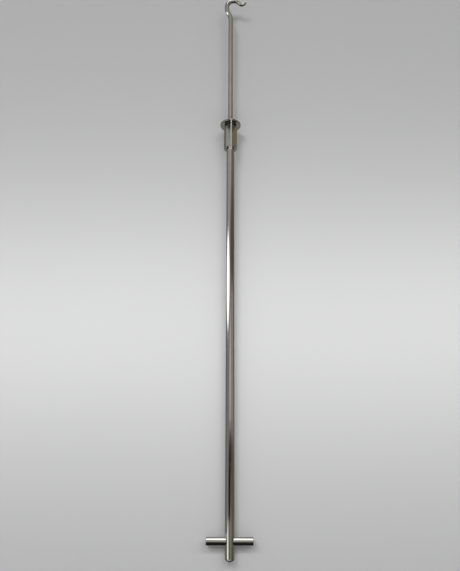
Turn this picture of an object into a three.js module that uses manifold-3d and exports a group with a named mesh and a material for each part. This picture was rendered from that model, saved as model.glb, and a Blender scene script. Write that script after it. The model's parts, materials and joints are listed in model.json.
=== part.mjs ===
// Telescoping drop rod with a hook: a thin hooked rod slides in a tube that carries a T-bar at
// its foot. A flanged collar nut at the tube's mouth squeezes a collet on the rod to lock it.
// Units are millimetres. Heights are measured up from the foot, on the rod's own axis, and the
// whole assembly is then placed so that the inside top of the hook is the origin.
import * as THREE from "three";
import { mergeVertices } from "three/addons/utils/BufferGeometryUtils.js";
import Module from "manifold-3d";

const wasm = await Module();
wasm.setup();

// ---- Driving dimensions ----
const GAP = 0.3; // clearance kept between pieces that touch on the real object
const ROD_D = 10;
const TUBE_D = 16;
const TUBE_WALL = 1.5;
const TUBE_TOP = 798;
const BAR_D = 12.5;
const BAR_LENGTH = 80;
const BAR_HEIGHT = 29;
const COLLAR_D = 27;
const COLLAR_BOTTOM = 768;
const COLLAR_LENGTH = 55;
const FLANGE_D = 43;
const FLANGE_THICK = 4;
const THREAD_D = 20; // M20 x 1.5 between the gland body and the collar nut
const FOOT_ROUND = 3; // round-over at the lower end
const RETRACT = 255; // how far the rod goes in from rest
const NECK_START = 1101; // height where the rod leaves its axis
const NECK_RISE = 34;
const NECK_OFFSET = 8.5;
const HOOK_STRAIGHT = 3.5; // between the neck and the crook
const HOOK_RADIUS = 15.5; // centre line of the crook
const HOOK_END_ANGLE = 30; // degrees above level where the crook turns back
const LIP_RADIUS = 6;
const LIP_ANGLE = 45;
const TIP_LENGTH = 5;
const TIP_D = 5.5;
const CROOK_END_R = 3.4; // the rod's radius where the crook turns back

// ---- Dimensions that follow ----
const ROD_R = ROD_D / 2;
const TUBE_R = TUBE_D / 2;
const BORE_R = TUBE_R - TUBE_WALL;
const INSERT_R = BORE_R - 0.15; // pieces that fill the tube's bore
const FOOT_HEAD = 3.7;
const TUBE_BOTTOM = FOOT_HEAD + GAP;
const PLUG_TOP = 50;
const STUD_R = 4;
const STUD_HOLE_R = STUD_R + 0.2;
const STUD_LENGTH = 56;
const COLLAR_TOP = COLLAR_BOTTOM + COLLAR_LENGTH;
const COLLAR_R = COLLAR_D / 2;
const FLANGE_R = FLANGE_D / 2;
const FLANGE_TOP = COLLAR_TOP + FLANGE_THICK;
const THREAD_R = THREAD_D / 2;
const LIP_BORE_R = TUBE_R + GAP;
const COLLAR_LIP_TOP = COLLAR_BOTTOM + 8;
const ROD_HOLE_R = ROD_R + GAP;
const BUFFER_THICK = 6;
const BUSH_LENGTH = 19.4;
const SPIGOT_R = 3;
const NUT_HEIGHT = 5;
const ROD_END = PLUG_TOP + GAP + BUFFER_THICK + RETRACT + 6;
const NUT_BOTTOM = ROD_END + 1;
const WASHER_BOTTOM = NUT_BOTTOM + NUT_HEIGHT + GAP;
const WASHER_THICK = 1;
const BUSH_BOTTOM = WASHER_BOTTOM + WASHER_THICK + GAP;
const SHOULDER = BUSH_BOTTOM + BUSH_LENGTH + GAP;
const GLAND_TOP = 815;
const HUB_BOTTOM = 817.5;
const NECK_TOP = NECK_START + NECK_RISE;
const CROOK_HEIGHT = NECK_TOP + HOOK_STRAIGHT; // centre of the crook
const CROOK_X = HOOK_RADIUS - NECK_OFFSET;
// The rod's radius at the top of the crook, a quarter turn into its taper.
const CROOK_R = ROD_R + ((CROOK_END_R - ROD_R) * 90) / (180 - HOOK_END_ANGLE);
const SEAT_HEIGHT = CROOK_HEIGHT + HOOK_RADIUS - CROOK_R;
const CROOK_STEPS = 13;
const LIP_STEPS = 6;
const NECK_STEPS = 4;
const RAD = Math.PI / 180;

// ---- Finishes ----
const FINISHES = {
  chrome: [0xd2d3d0, 0.08, 1],
  zinc: [0xb4b4ae, 0.35, 1],
  brass: [0xb39348, 0.3, 1],
  nylon: [0xe6e3d8, 0.55, 0],
  rubber: [0x1d1d1f, 0.85, 0],
};

const assembly = new THREE.Group();
assembly.position.set(-CROOK_X, 0, -SEAT_HEIGHT);

function add(name, finish, geometry) {
  const [color, roughness, metalness] = FINISHES[finish];
  const material = new THREE.MeshStandardMaterial({ color, roughness, metalness });
  const mesh = new THREE.Mesh(geometry, material);
  mesh.name = name;
  assembly.add(mesh);
}

// ---- Shape helpers ----

// A turned solid about the Z axis from [radius, height] points, which run up the outside.
function turned(points, sides = 24) {
  const profile = points.map(([r, z]) => new THREE.Vector2(r, z));
  return new THREE.LatheGeometry(profile, sides).rotateX(Math.PI / 2);
}

function ring(inner, outer, bottom, top, sides = 24) {
  return turned([
    [inner, bottom], [outer, bottom], [outer, top], [inner, top], [inner, bottom],
  ], sides);
}

function rod(radius, bottom, top, sides = 24) {
  return turned([[0, bottom], [radius, bottom], [radius, top], [0, top]], sides);
}

// Points of a quarter round in a profile, from angle a to angle b in degrees.
function arc(cx, cz, radius, a, b, steps = 6) {
  return Array.from({ length: steps + 1 }, (_, i) => {
    const angle = (a + ((b - a) * i) / steps) * RAD;
    return [cx + radius * Math.cos(angle), cz + radius * Math.sin(angle)];
  });
}

function toSolid(geometry) {
  const bare = geometry.clone();
  bare.deleteAttribute("normal");
  bare.deleteAttribute("uv");
  const merged = mergeVertices(bare, 1e-4);
  return new wasm.Manifold(new wasm.Mesh({
    numProp: 3,
    vertProperties: new Float32Array(merged.attributes.position.array),
    triVerts: new Uint32Array(merged.index.array),
  }));
}

function toGeometry(solid) {
  const mesh = solid.getMesh();
  const geometry = new THREE.BufferGeometry();
  geometry.setAttribute("position", new THREE.BufferAttribute(mesh.vertProperties, 3));
  geometry.setIndex(new THREE.BufferAttribute(mesh.triVerts, 1));
  return geometry;
}

function cut(body, ...tools) {
  const start = toSolid(body);
  return toGeometry(tools.reduce((solid, tool) => solid.subtract(toSolid(tool)), start));
}

// A turned solid laid along X or along Y at the T-bar's height.
function acrossX(geometry) {
  return geometry.rotateY(Math.PI / 2).translate(0, 0, BAR_HEIGHT);
}

function alongY(geometry, height) {
  return geometry.rotateX(-Math.PI / 2).translate(0, 0, height);
}

function hexPrism(acrossFlats, bottom, top) {
  return rod(acrossFlats / Math.sqrt(3), bottom, top, 6);
}

// ---- Hooked rod ----

// Centre line of the rod in the X-Z plane as stations of x, z, heading from +X, and radius.
function hookStations() {
  const stations = [];
  const put = (x, z, heading, radius) => stations.push({ x, z, heading, radius });
  put(0, SHOULDER, 90, ROD_R);

  // The neck is two equal arcs that move the rod sideways by NECK_OFFSET.
  const neckRadius = (NECK_RISE ** 2 + NECK_OFFSET ** 2) / (4 * NECK_OFFSET);
  const lean = Math.asin(NECK_RISE / (2 * neckRadius)) / RAD;
  const lower = arc(-neckRadius, NECK_START, neckRadius, 0, lean, NECK_STEPS);
  lower.forEach(([x, z], i) => {
    put(x, z, 90 + (lean * i) / NECK_STEPS, ROD_R);
  });
  const upperX = neckRadius - NECK_OFFSET;
  const upper = arc(upperX, NECK_TOP, neckRadius, 180 + lean, 180, NECK_STEPS);
  upper.slice(1).forEach(([x, z], i) => {
    put(x, z, 90 + lean - (lean * (i + 1)) / NECK_STEPS, ROD_R);
  });

  // The crook goes over the top and the lip turns back outwards, tapering all the way.
  const crook = arc(CROOK_X, CROOK_HEIGHT, HOOK_RADIUS, 180, HOOK_END_ANGLE, CROOK_STEPS);
  const crookSweep = 180 - HOOK_END_ANGLE;
  const reach = HOOK_RADIUS + LIP_RADIUS;
  const lipX = CROOK_X + reach * Math.cos(HOOK_END_ANGLE * RAD);
  const lipZ = CROOK_HEIGHT + reach * Math.sin(HOOK_END_ANGLE * RAD);
  const lip = arc(lipX, lipZ, LIP_RADIUS, 180 + HOOK_END_ANGLE, 270 + LIP_ANGLE, LIP_STEPS);
  const lipSweep = 90 + LIP_ANGLE - HOOK_END_ANGLE;
  const tipR = TIP_D / 2;
  crook.forEach(([x, z], i) => {
    const share = i / CROOK_STEPS;
    put(x, z, 90 - crookSweep * share, ROD_R + (CROOK_END_R - ROD_R) * share);
  });
  lip.slice(1).forEach(([x, z], i) => {
    const share = (i + 1) / LIP_STEPS;
    const radius = CROOK_END_R + (tipR - CROOK_END_R) * share;
    put(x, z, HOOK_END_ANGLE - 90 + lipSweep * share, radius);
  });
  const [endX, endZ] = lip[LIP_STEPS];
  const alongX = Math.cos(LIP_ANGLE * RAD);
  const alongZ = Math.sin(LIP_ANGLE * RAD);
  const along = (d, radius) => {
    put(endX + d * alongX, endZ + d * alongZ, LIP_ANGLE, radius);
  };
  along(TIP_LENGTH, tipR);
  for (const a of [30, 55, 75]) {
    along(TIP_LENGTH + tipR * Math.sin(a * RAD), tipR * Math.cos(a * RAD));
  }
  return stations;
}

// A round bar swept through planar stations, with flat ends.
function sweptBar(stations, sides) {
  const positions = [];
  const index = [];
  for (const { x, z, heading, radius } of stations) {
    const sideX = Math.sin(heading * RAD);
    const sideZ = -Math.cos(heading * RAD);
    for (let k = 0; k < sides; k++) {
      const angle = (2 * Math.PI * k) / sides;
      const out = radius * Math.cos(angle);
      positions.push(x + out * sideX, radius * Math.sin(angle), z + out * sideZ);
    }
  }
  const last = stations.length - 1;
  for (let s = 0; s < last; s++) {
    for (let k = 0; k < sides; k++) {
      const a = s * sides + k;
      const b = s * sides + ((k + 1) % sides);
      index.push(a, b, b + sides, a, b + sides, a + sides);
    }
  }
  for (let k = 1; k < sides - 1; k++) {
    index.push(0, k + 1, k);
    index.push(last * sides, last * sides + k, last * sides + k + 1);
  }
  const geometry = new THREE.BufferGeometry();
  geometry.setAttribute("position", new THREE.Float32BufferAttribute(positions, 3));
  geometry.setIndex(index);
  return geometry;
}

function buildRod() {
  const bar = toSolid(sweptBar(hookStations(), 20));
  const spigot = toSolid(rod(SPIGOT_R, ROD_END, SHOULDER + 2, 16));
  add("hook_rod", "chrome", toGeometry(bar.add(spigot)));

  const spigotHole = rod(SPIGOT_R + 0.2, ROD_END, SHOULDER, 16);
  const nut = hexPrism(10, NUT_BOTTOM, NUT_BOTTOM + NUT_HEIGHT);
  add("rod_end_nut", "zinc", cut(nut, spigotHole));
  add("rod_end_washer", "zinc",
    ring(SPIGOT_R + 0.2, 6, WASHER_BOTTOM, WASHER_BOTTOM + WASHER_THICK, 20));
}

function buildGuideBush() {
  const top = BUSH_BOTTOM + BUSH_LENGTH;
  const groove = 0.8;
  add("guide_bush", "nylon", turned([
    [SPIGOT_R + 0.2, BUSH_BOTTOM], [INSERT_R - 0.6, BUSH_BOTTOM], [INSERT_R, BUSH_BOTTOM + 0.6],
    [INSERT_R, BUSH_BOTTOM + 6], [INSERT_R - groove, BUSH_BOTTOM + 7],
    [INSERT_R - groove, top - 7], [INSERT_R, top - 6],
    [INSERT_R, top - 0.6], [INSERT_R - 0.6, top], [SPIGOT_R + 0.2, top],
    [SPIGOT_R + 0.2, BUSH_BOTTOM],
  ]));
}

// ---- Tube and foot ----

const GRUB_R = 2.5;
const GRUB_INNER = STUD_R + 0.4;
const RETAINER_BOTTOM = COLLAR_LIP_TOP + 2;
const RETAINER_THICK = 1.2;

function grubScrew(inner, outer) {
  const body = turned([[0, inner], [GRUB_R - 0.4, inner], [GRUB_R, inner + 0.4],
    [GRUB_R, outer - 0.3], [GRUB_R - 0.3, outer], [0, outer]], 14);
  return cut(body, hexPrism(2.5, outer - 1.6, outer + 1));
}

function buildTube() {
  const grooveR = TUBE_R - 0.5;
  const grooveTop = RETAINER_BOTTOM + RETAINER_THICK + 0.2;
  const grooveBottom = RETAINER_BOTTOM - 0.2;
  const body = turned([
    [BORE_R, TUBE_BOTTOM], [TUBE_R, TUBE_BOTTOM], [TUBE_R, grooveBottom],
    [grooveR, grooveBottom], [grooveR, grooveTop], [TUBE_R, grooveTop],
    [TUBE_R, TUBE_TOP], [BORE_R, TUBE_TOP], [BORE_R, TUBE_BOTTOM],
  ], 28);
  const studHole = acrossX(rod(STUD_HOLE_R, -TUBE_D, TUBE_D, 18));
  const grubHole = alongY(rod(GRUB_R + 0.2, 0, TUBE_D, 14), BAR_HEIGHT);
  add("outer_tube", "chrome", cut(body, studHole, grubHole));

  const plug = turned([
    [0, 0], ...arc(TUBE_R - FOOT_ROUND, FOOT_ROUND, FOOT_ROUND, -90, 0, 2),
    [TUBE_R, FOOT_HEAD], [INSERT_R, FOOT_HEAD], [INSERT_R, PLUG_TOP - 1],
    [INSERT_R - 1, PLUG_TOP], [0, PLUG_TOP],
  ], 28);
  add("foot_plug", "chrome", cut(plug, studHole, grubHole));
  add("foot_grub_screw", "zinc",
    alongY(grubScrew(GRUB_INNER, TUBE_R - 0.5), BAR_HEIGHT));
  add("bottom_buffer", "rubber",
    rod(INSERT_R - 0.3, PLUG_TOP + GAP, PLUG_TOP + GAP + BUFFER_THICK, 20));

  const half = STUD_LENGTH / 2;
  add("cross_stud", "zinc", acrossX(turned([[0, -half], [STUD_R - 0.8, -half],
    [STUD_R, 0.8 - half], [STUD_R, half - 0.8], [STUD_R - 0.8, half], [0, half]], 18)));
  const end = BAR_LENGTH / 2;
  const peg = turned([[0, 2], [BAR_D / 2, 2], [BAR_D / 2, end - 0.8],
    [BAR_D / 2 - 0.8, end], [0, end]], 24);
  const saddle = rod(TUBE_R + GAP, 0, 2 * BAR_HEIGHT, 48);
  const pegHole = rod(STUD_HOLE_R, 0, half + 1, 18);
  const rightPeg = cut(acrossX(peg), saddle, acrossX(pegHole));
  add("peg_right", "chrome", rightPeg);
  add("peg_left", "chrome", rightPeg.clone().rotateZ(Math.PI));

  const retainer = ring(grooveR + 0.2, THREAD_R - 0.3, RETAINER_BOTTOM,
    RETAINER_BOTTOM + RETAINER_THICK, 24);
  const slit = new THREE.BoxGeometry(THREAD_D, 3, 10).translate(THREAD_R, 0, RETAINER_BOTTOM);
  add("retaining_ring", "zinc", cut(retainer, slit));
}

// ---- Gland in the tube's mouth ----

const COLLET_BOTTOM = 804;
const COLLET_TOP = 816;
const COLLET_LOW_R = 6.4;
const COLLET_HIGH_R = 8;

function buildGland() {
  const seat = GAP + 0.1;
  add("gland_body", "brass", turned([
    [ROD_HOLE_R, COLLAR_BOTTOM], [INSERT_R, COLLAR_BOTTOM],
    [INSERT_R, TUBE_TOP + GAP], [THREAD_R - 0.6, TUBE_TOP + GAP],
    [THREAD_R, TUBE_TOP + GAP + 0.6], [THREAD_R, GLAND_TOP - 0.6],
    [THREAD_R - 0.6, GLAND_TOP], [COLLET_HIGH_R + seat - 0.1, GLAND_TOP],
    [COLLET_LOW_R + seat, COLLET_BOTTOM - GAP], [ROD_HOLE_R, COLLET_BOTTOM - GAP],
    [ROD_HOLE_R, COLLAR_BOTTOM],
  ]));
  add("top_buffer", "rubber",
    ring(ROD_HOLE_R + 0.3, INSERT_R - 0.1, COLLAR_BOTTOM - 10, COLLAR_BOTTOM - GAP, 20));

  const collet = turned([
    [ROD_R + 0.15, COLLET_BOTTOM], [COLLET_LOW_R, COLLET_BOTTOM],
    [COLLET_HIGH_R, COLLET_TOP - 1], [COLLET_HIGH_R, COLLET_TOP],
    [ROD_R + 0.15, COLLET_TOP], [ROD_R + 0.15, COLLET_BOTTOM],
  ]);
  const fullSlit = new THREE.BoxGeometry(12, 1.2, 20).translate(6, 0, COLLET_TOP - 6);
  const slits = [120, 240].map((angle) => new THREE.BoxGeometry(12, 1.2, 9)
    .translate(6, 0, COLLET_BOTTOM + 3).rotateZ(angle * RAD));
  add("collet", "nylon", cut(collet, fullSlit, ...slits));
  add("thrust_washer", "brass",
    ring(ROD_HOLE_R + 0.4, THREAD_R - 0.8, COLLET_TOP + GAP, HUB_BOTTOM - GAP, 24));
}

// ---- Collar nut ----

const ORING_SECTION = 1.3;
const ORING_BOTTOM = COLLAR_BOTTOM + 2.6;
const COLLAR_BORE_R = THREAD_R + GAP;
const WIPER_R = 7.3;
const WIPER_DEPTH = 2.6;
const FLANGE_GRUB_HEIGHT = HUB_BOTTOM + 2.8;
const FLANGE_GRUB_ANGLES = [50, 130]; // degrees from +X, both on the back

function radial(geometry, angle, height) {
  return geometry.rotateY(Math.PI / 2).rotateZ(angle * RAD).translate(0, 0, height);
}

function buildCollar() {
  const grooveR = LIP_BORE_R + ORING_SECTION + 0.1;
  const chamfer = 0.8;
  const shell = turned([
    [LIP_BORE_R, COLLAR_BOTTOM], [COLLAR_R - chamfer, COLLAR_BOTTOM],
    [COLLAR_R, COLLAR_BOTTOM + chamfer], [COLLAR_R, COLLAR_TOP - GAP],
    [COLLAR_BORE_R, COLLAR_TOP - GAP], [COLLAR_BORE_R, COLLAR_LIP_TOP],
    [LIP_BORE_R, COLLAR_LIP_TOP], [LIP_BORE_R, ORING_BOTTOM + ORING_SECTION + 0.2],
    [grooveR, ORING_BOTTOM + ORING_SECTION + 0.2], [grooveR, ORING_BOTTOM - 0.2],
    [LIP_BORE_R, ORING_BOTTOM - 0.2], [LIP_BORE_R, COLLAR_BOTTOM],
  ], 32);
  const grubHole = (angle) => {
    return radial(rod(1.7, THREAD_R - 4, COLLAR_D, 12), angle, FLANGE_GRUB_HEIGHT);
  };
  const holes = FLANGE_GRUB_ANGLES.map(grubHole);
  add("collar_sleeve", "chrome", cut(shell, ...holes));

  const edge = 1;
  const disc = turned([
    [ROD_HOLE_R, HUB_BOTTOM], [THREAD_R, HUB_BOTTOM], [THREAD_R, COLLAR_TOP],
    ...arc(FLANGE_R - edge, COLLAR_TOP + edge, edge, -90, 0, 2),
    ...arc(FLANGE_R - edge, FLANGE_TOP - edge, edge, 0, 90, 2),
    [WIPER_R + 0.2, FLANGE_TOP], [WIPER_R + 0.2, FLANGE_TOP - WIPER_DEPTH],
    [ROD_HOLE_R, FLANGE_TOP - WIPER_DEPTH], [ROD_HOLE_R, HUB_BOTTOM],
  ], 36);
  add("flange_cap", "chrome", cut(disc, ...holes));

  FLANGE_GRUB_ANGLES.forEach((angle, i) => {
    const inner = THREAD_R - 3.6;
    const body = turned([[0, inner], [1.1, inner], [1.5, inner + 0.4], [1.5, COLLAR_R - 0.5],
      [1.3, COLLAR_R - 0.3], [0, COLLAR_R - 0.3]], 12);
    const screw = cut(body, hexPrism(1.5, COLLAR_R - 1.6, COLLAR_R + 1));
    add("flange_grub_screw_" + (i + 1), "zinc", radial(screw, angle, FLANGE_GRUB_HEIGHT));
  });

  const wiperTop = FLANGE_TOP + 0.5;
  const wiperBottom = FLANGE_TOP - WIPER_DEPTH + GAP;
  add("wiper_ring", "rubber", turned([
    [ROD_R + 0.4, wiperBottom], [WIPER_R, wiperBottom], [WIPER_R, FLANGE_TOP - 0.2],
    [WIPER_R - 1, wiperTop], [ROD_R + 0.9, wiperTop], [ROD_R + 0.15, wiperTop - 0.6],
    [ROD_R + 0.4, wiperBottom],
  ]));
  const oringR = TUBE_R + 0.15 + ORING_SECTION / 2;
  const section = arc(oringR, ORING_BOTTOM + ORING_SECTION / 2, ORING_SECTION / 2, 0, 360, 6);
  section[6] = section[0];
  add("collar_o_ring", "rubber", turned(section, 24));
}

buildRod();
buildGuideBush();
buildTube();
buildGland();
buildCollar();

export default assembly;
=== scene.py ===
import json
import math
from collections import namedtuple

import bmesh
import bpy
from mathutils import Matrix, Vector


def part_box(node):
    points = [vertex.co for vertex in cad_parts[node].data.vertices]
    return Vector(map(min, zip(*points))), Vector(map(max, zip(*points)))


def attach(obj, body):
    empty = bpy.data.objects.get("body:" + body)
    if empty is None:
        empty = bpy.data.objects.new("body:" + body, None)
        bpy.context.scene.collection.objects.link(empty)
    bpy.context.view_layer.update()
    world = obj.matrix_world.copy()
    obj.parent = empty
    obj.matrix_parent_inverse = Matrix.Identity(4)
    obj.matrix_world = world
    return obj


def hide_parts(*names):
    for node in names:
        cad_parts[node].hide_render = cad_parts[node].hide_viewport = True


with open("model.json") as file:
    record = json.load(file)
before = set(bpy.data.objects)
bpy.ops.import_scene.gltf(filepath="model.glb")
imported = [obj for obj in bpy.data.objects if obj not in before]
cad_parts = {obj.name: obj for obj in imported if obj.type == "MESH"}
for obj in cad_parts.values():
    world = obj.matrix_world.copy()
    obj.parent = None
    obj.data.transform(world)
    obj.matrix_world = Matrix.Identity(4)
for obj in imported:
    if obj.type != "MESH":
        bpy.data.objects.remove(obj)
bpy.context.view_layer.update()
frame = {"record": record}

bl_info = {
    "name": "Hooked drop rod",
    "version": (1, 0, 0),
    "blender": (4, 5, 0),
    "location": "View3D > Sidebar > Drop rod",
    "description": "Models a chromed telescoping drop rod around its CAD frame and lights it",
    "category": "Object",
}

MM = 0.001


def heights(node_name):
    """Lower and upper height of a node's box."""
    low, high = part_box(node_name)
    return low.z, high.z


def half_of(node_name, axis):
    """Half of a node's size along an axis: the radius of a turned piece."""
    low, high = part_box(node_name)
    return (high[axis] - low[axis]) / 2


X, Y, Z = range(3)

# Places and sizes read from the frame: the rod's axis, heights along it and radii about it.
TUBE_LOW, TUBE_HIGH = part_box("outer_tube")
PEG_LOW, PEG_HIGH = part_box("peg_right")
FOOT_Z = heights("foot_plug")[0]
FLANGE_Z = sum(heights("flange_cap")) / 2
AXIS_X = (TUBE_LOW.x + TUBE_HIGH.x) / 2
TUBE_R = half_of("outer_tube", X)
ROD_R = half_of("hook_rod", Y)
FLANGE_R = half_of("flange_cap", X)
COLLAR_R = half_of("collar_sleeve", X)
BAR_R = half_of("peg_right", Z)
BAR_Z = (PEG_LOW.z + PEG_HIGH.z) / 2

# Sizes that several pieces share.
TUBE_WALL = 1.5 * MM
CLEARANCE = 0.3 * MM
PRESS_GAP = 0.15 * MM
PLUG_R = TUBE_R - TUBE_WALL - PRESS_GAP
STUD_BORE_R = 4.2 * MM
FOOT_SCREW_BORE_R = 2.7 * MM
FLANGE_SCREW_BORE_R = 1.7 * MM
THREAD_R = 10 * MM
SPIGOT_BORE_R = 3.2 * MM
SEAL_SIDES = 72
SCREW_SIDES = 48
BORE_SIDES = 32
SAME_PLACE = 1e-6

BODY_OF = {n: b for b, ns in frame["record"]["behaviour"]["bodies"].items() for n in ns}
SLOT_OF = {s["node"]: s["material_slot"] for s in frame["record"]["subparts"]}


# ---- Settings ----

def length(name, text, default):
    return bpy.props.FloatProperty(name=name, description=text, default=default, unit="LENGTH")


def colour(name, text, default):
    return bpy.props.FloatVectorProperty(
        name=name, description=text, default=default, subtype="COLOR", min=0, max=1)


class RodSizes(bpy.types.PropertyGroup):
    rod_radius: length("Rod radius", "Radius of the thin rod", ROD_R)
    neck_rise: length("Neck rise", "Height over which the rod steps sideways", 34 * MM)
    neck_offset: length("Neck offset", "How far the neck steps sideways", 8.5 * MM)
    neck_start: length("Neck start", "Where the neck begins, below the hook's seat", 48.96 * MM)
    hook_straight: length("Hook straight", "Straight length between neck and crook", 3.5 * MM)
    crook_radius: length("Crook radius", "Centre line radius of the crook", 15.5 * MM)
    crook_end: bpy.props.FloatProperty(
        name="Crook end", description="Angle above level where the crook turns back",
        default=math.radians(30), subtype="ANGLE")
    crook_thin: length("Crook end radius", "Radius of the bar at the crook's end", 3.4 * MM)
    lip_radius: length("Lip radius", "Centre line radius of the turned-back lip", 6 * MM)
    lip_angle: bpy.props.FloatProperty(
        name="Lip angle", description="Angle above level at which the lip points",
        default=math.radians(45), subtype="ANGLE")
    tip_length: length("Tip length", "Straight end of the lip", 5 * MM)
    tip_radius: length("Tip radius", "Radius of the lip's round tip", 2.75 * MM)
    bar_sides: bpy.props.IntProperty(
        name="Sides", description="Faces round each turned piece", default=96, min=24, max=192)


class RodFinishes(bpy.types.PropertyGroup):
    chrome: colour("Chrome", "Polished chrome", (0.83, 0.83, 0.80))
    zinc: colour("Zinc", "Zinc plating on the screws", (0.60, 0.60, 0.57))
    brass: colour("Brass", "Turned brass", (0.66, 0.47, 0.20))
    nylon: colour("Nylon", "Moulded nylon", (0.80, 0.77, 0.68))
    rubber: colour("Rubber", "Black rubber", (0.018, 0.018, 0.020))
    wall: colour("Wall", "Pale painted wall and floor", (0.71, 0.712, 0.715))


# ---- Node helpers ----

def node(tree, kind, values=None, **settings):
    made = tree.nodes.new(kind)
    for key, value in settings.items():
        setattr(made, key, value)
    for key, value in (values or {}).items():
        made.inputs[key].default_value = value
    return made


def start_group(name, inputs, outputs):
    group = bpy.data.node_groups.new(name, "ShaderNodeTree")
    for label, kind, value in inputs:
        socket = group.interface.new_socket(name=label, in_out="INPUT", socket_type=kind)
        if value is not None:
            socket.default_value = value
    for label, kind in outputs:
        group.interface.new_socket(name=label, in_out="OUTPUT", socket_type=kind)
    return group, group.nodes.new("NodeGroupInput"), group.nodes.new("NodeGroupOutput")


def place_group(tree, group, **values):
    made = tree.nodes.new("ShaderNodeGroup")
    made.node_tree = group
    for key, value in values.items():
        made.inputs[key.replace("_", " ")].default_value = value
    return made


FLOAT = "NodeSocketFloat"
VECTOR = "NodeSocketVector"


def drawn_lines_group():
    """Fine lines left by drawing and polishing, long along Z."""
    group, inp, out = start_group(
        "drawn_lines",
        [("Vector", VECTOR, None), ("Fineness", FLOAT, 900.0), ("Stretch", FLOAT, 0.01)],
        [("Lines", FLOAT)])
    scale = node(group, "ShaderNodeCombineXYZ", {"X": 1.0, "Y": 1.0})
    group.links.new(inp.outputs["Stretch"], scale.inputs["Z"])
    squeeze = node(group, "ShaderNodeVectorMath", operation="MULTIPLY")
    group.links.new(inp.outputs["Vector"], squeeze.inputs[0])
    group.links.new(scale.outputs["Vector"], squeeze.inputs[1])
    noise = node(group, "ShaderNodeTexNoise", {"Detail": 3.0, "Roughness": 0.6})
    group.links.new(squeeze.outputs["Vector"], noise.inputs["Vector"])
    group.links.new(inp.outputs["Fineness"], noise.inputs["Scale"])
    group.links.new(noise.outputs["Fac"], out.inputs["Lines"])
    return group


def handling_group():
    """Smudges, dust specks and sparse scratches from use."""
    group, inp, out = start_group(
        "handling",
        [("Vector", VECTOR, None), ("Smudge Scale", FLOAT, 40.0), ("Scratch Scale", FLOAT, 260.0)],
        [("Smudge", FLOAT), ("Scratch", FLOAT), ("Dust", FLOAT)])
    smudge = node(group, "ShaderNodeTexNoise", {"Detail": 5.0, "Roughness": 0.62, "Distortion": 0.4})
    group.links.new(inp.outputs["Vector"], smudge.inputs["Vector"])
    group.links.new(inp.outputs["Smudge Scale"], smudge.inputs["Scale"])
    smudge_mask = node(group, "ShaderNodeMapRange", {"From Min": 0.48, "From Max": 0.72})
    group.links.new(smudge.outputs["Fac"], smudge_mask.inputs["Value"])
    group.links.new(smudge_mask.outputs["Result"], out.inputs["Smudge"])
    cells = node(group, "ShaderNodeTexVoronoi", feature="DISTANCE_TO_EDGE")
    bent = node(group, "ShaderNodeTexNoise", {"Scale": 30.0, "Detail": 2.0})
    group.links.new(inp.outputs["Vector"], bent.inputs["Vector"])
    shift = node(group, "ShaderNodeMix", {"Factor": 0.06}, data_type="VECTOR")
    group.links.new(inp.outputs["Vector"], shift.inputs[4])
    group.links.new(bent.outputs["Color"], shift.inputs[5])
    group.links.new(shift.outputs[1], cells.inputs["Vector"])
    group.links.new(inp.outputs["Scratch Scale"], cells.inputs["Scale"])
    scratch = node(group, "ShaderNodeMapRange", {"From Min": 0.0, "From Max": 0.02,
                                                 "To Min": 1.0, "To Max": 0.0})
    group.links.new(cells.outputs["Distance"], scratch.inputs["Value"])
    group.links.new(scratch.outputs["Result"], out.inputs["Scratch"])
    speck = node(group, "ShaderNodeTexNoise", {"Scale": 1400.0, "Detail": 2.0})
    group.links.new(inp.outputs["Vector"], speck.inputs["Vector"])
    dust = node(group, "ShaderNodeMapRange", {"From Min": 0.66, "From Max": 0.78})
    group.links.new(speck.outputs["Fac"], dust.inputs["Value"])
    group.links.new(dust.outputs["Result"], out.inputs["Dust"])
    return group


def soft_card_group():
    """Mask of a soft-edged patch of the studio, by azimuth and elevation in degrees."""
    group, inp, out = start_group(
        "soft_card",
        [("Azimuth", FLOAT, 0.0), ("Elevation", FLOAT, 0.0),
         ("At Azimuth", FLOAT, 0.0), ("At Elevation", FLOAT, 0.0),
         ("Half Width", FLOAT, 30.0), ("Half Height", FLOAT, 10.0), ("Softness", FLOAT, 0.3)],
        [("Mask", FLOAT)])
    squares = []
    for axis, at, half in (("Azimuth", "At Azimuth", "Half Width"),
                           ("Elevation", "At Elevation", "Half Height")):
        gap = node(group, "ShaderNodeMath", operation="SUBTRACT")
        group.links.new(inp.outputs[axis], gap.inputs[0])
        group.links.new(inp.outputs[at], gap.inputs[1])
        away = node(group, "ShaderNodeMath", {1: -180.0, 2: 180.0}, operation="WRAP")
        group.links.new(gap.outputs[0], away.inputs[0])
        share = node(group, "ShaderNodeMath", operation="DIVIDE")
        group.links.new(away.outputs[0], share.inputs[0])
        group.links.new(inp.outputs[half], share.inputs[1])
        power = node(group, "ShaderNodeMath", operation="MULTIPLY")
        group.links.new(share.outputs[0], power.inputs[0])
        group.links.new(share.outputs[0], power.inputs[1])
        squares.append(power)
    total = node(group, "ShaderNodeMath", operation="ADD")
    group.links.new(squares[0].outputs[0], total.inputs[0])
    group.links.new(squares[1].outputs[0], total.inputs[1])
    reach = node(group, "ShaderNodeMath", operation="SQRT")
    group.links.new(total.outputs[0], reach.inputs[0])
    low = node(group, "ShaderNodeMath", {0: 1.0}, operation="SUBTRACT")
    group.links.new(inp.outputs["Softness"], low.inputs[1])
    high = node(group, "ShaderNodeMath", {0: 1.0}, operation="ADD")
    group.links.new(inp.outputs["Softness"], high.inputs[1])
    fade = node(group, "ShaderNodeMapRange", {"To Min": 1.0, "To Max": 0.0},
                interpolation_type="SMOOTHSTEP")
    group.links.new(reach.outputs[0], fade.inputs["Value"])
    group.links.new(low.outputs[0], fade.inputs["From Min"])
    group.links.new(high.outputs[0], fade.inputs["From Max"])
    group.links.new(fade.outputs["Result"], out.inputs["Mask"])
    return group


GROUPS = {}


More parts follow.
